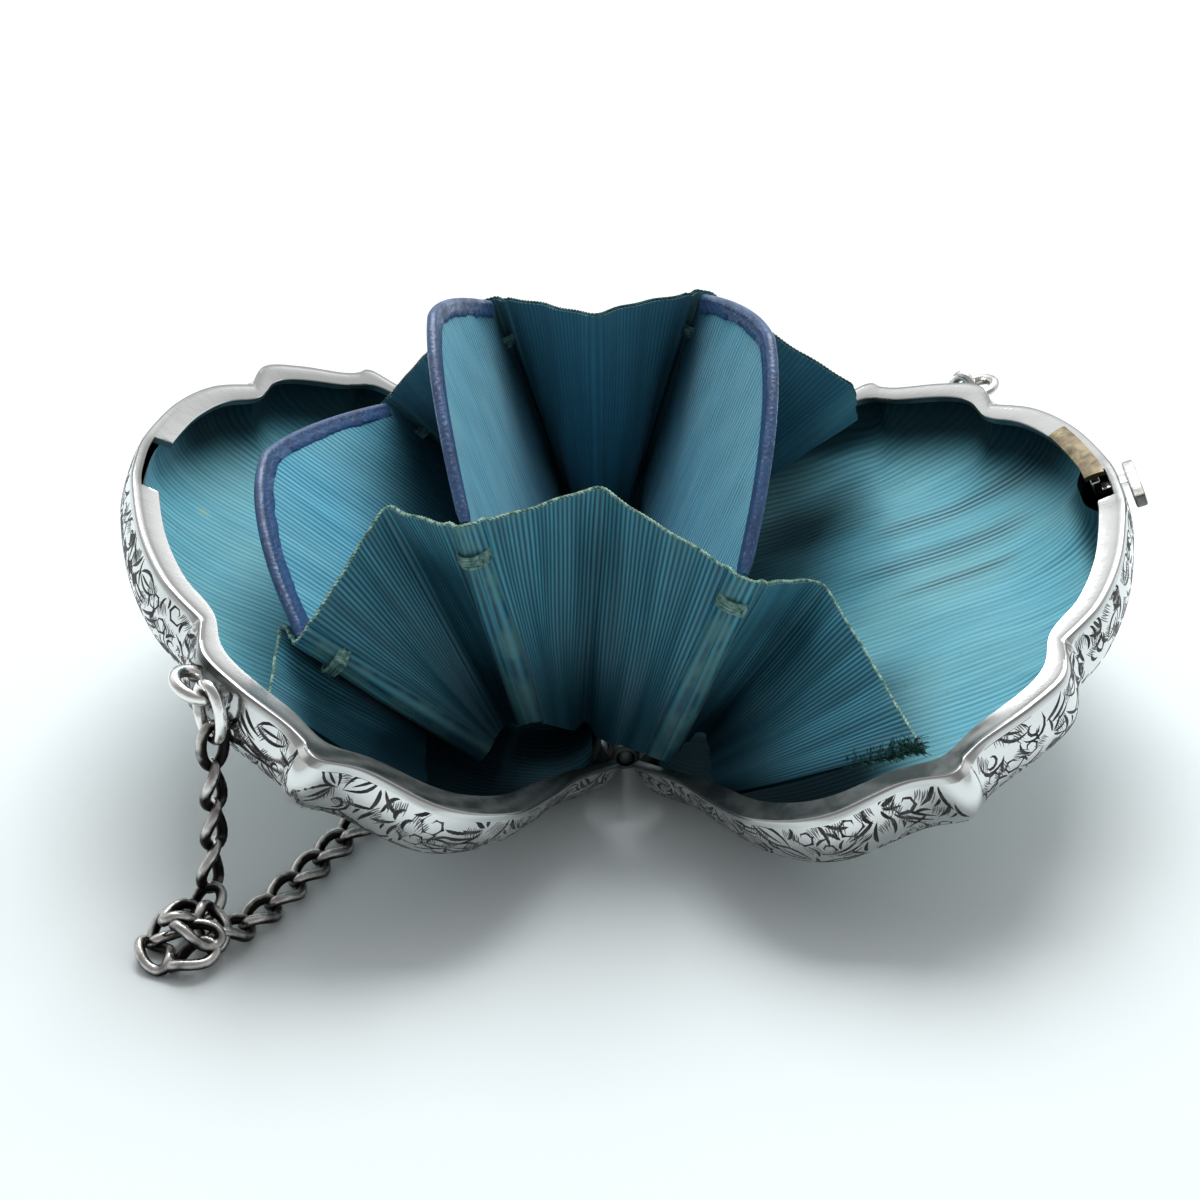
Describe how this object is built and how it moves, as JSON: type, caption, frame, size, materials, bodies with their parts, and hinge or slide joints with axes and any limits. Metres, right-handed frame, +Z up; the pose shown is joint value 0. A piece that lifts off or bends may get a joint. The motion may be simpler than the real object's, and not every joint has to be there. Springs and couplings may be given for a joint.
{
  "type": "silver coin purse",
  "caption": "Engraved silver clam purse lying open on its two domed shells, with a pleated silk concertina on leather-bound leaves, silk linings, a push catch and a curb chain.",
  "frame": {"origin": "centre of the bounding box's bottom, on the surface that the open purse lies on", "axes": "+X from the hinge towards the right shell's tip, +Y along the hinge towards the back, +Z up"},
  "size_m": [0.0938, 0.081, 0.0408],
  "materials": {
    "silver": "polished silver with engraving",
    "tarnished_silver": "darkened silver, bright on worn edges",
    "spring_brass": "worn",
    "lining_silk": "fine ribbed silk",
    "leaf_silk": "fine ribbed silk",
    "ribbon_silk": "coarse ribbed silk ribbon",
    "navy_leather": "worn smooth leather"
  },
  "bodies": {
    "purse": {"shell_left": "silver", "shell_right": "silver", "hinge_pin": "silver", "lining_left": "lining_silk", "lining_right": "lining_silk", "leaf_1": "leaf_silk", "binding_1": "navy_leather", "leaf_2": "leaf_silk", "binding_2": "navy_leather", "leaf_3": "leaf_silk", "binding_3": "navy_leather", "pocket_floor": "leaf_silk", "gusset_front": "ribbon_silk", "gusset_back": "ribbon_silk", "chain_ring_left": "silver", "chain_ring_right": "silver", "chain": "tarnished_silver"},
    "catch": {"catch_button": "silver", "catch_spring": "spring_brass"}
  },
  "joints": [
    {"name": "catch_press", "type": "slide", "parent": "purse", "child": "catch", "axis": [-0.9291, 0, -0.3697], "range_m": [0, 0.0005], "stiffness_N_per_m": 400, "springref_m": -0.0005}
  ]
}
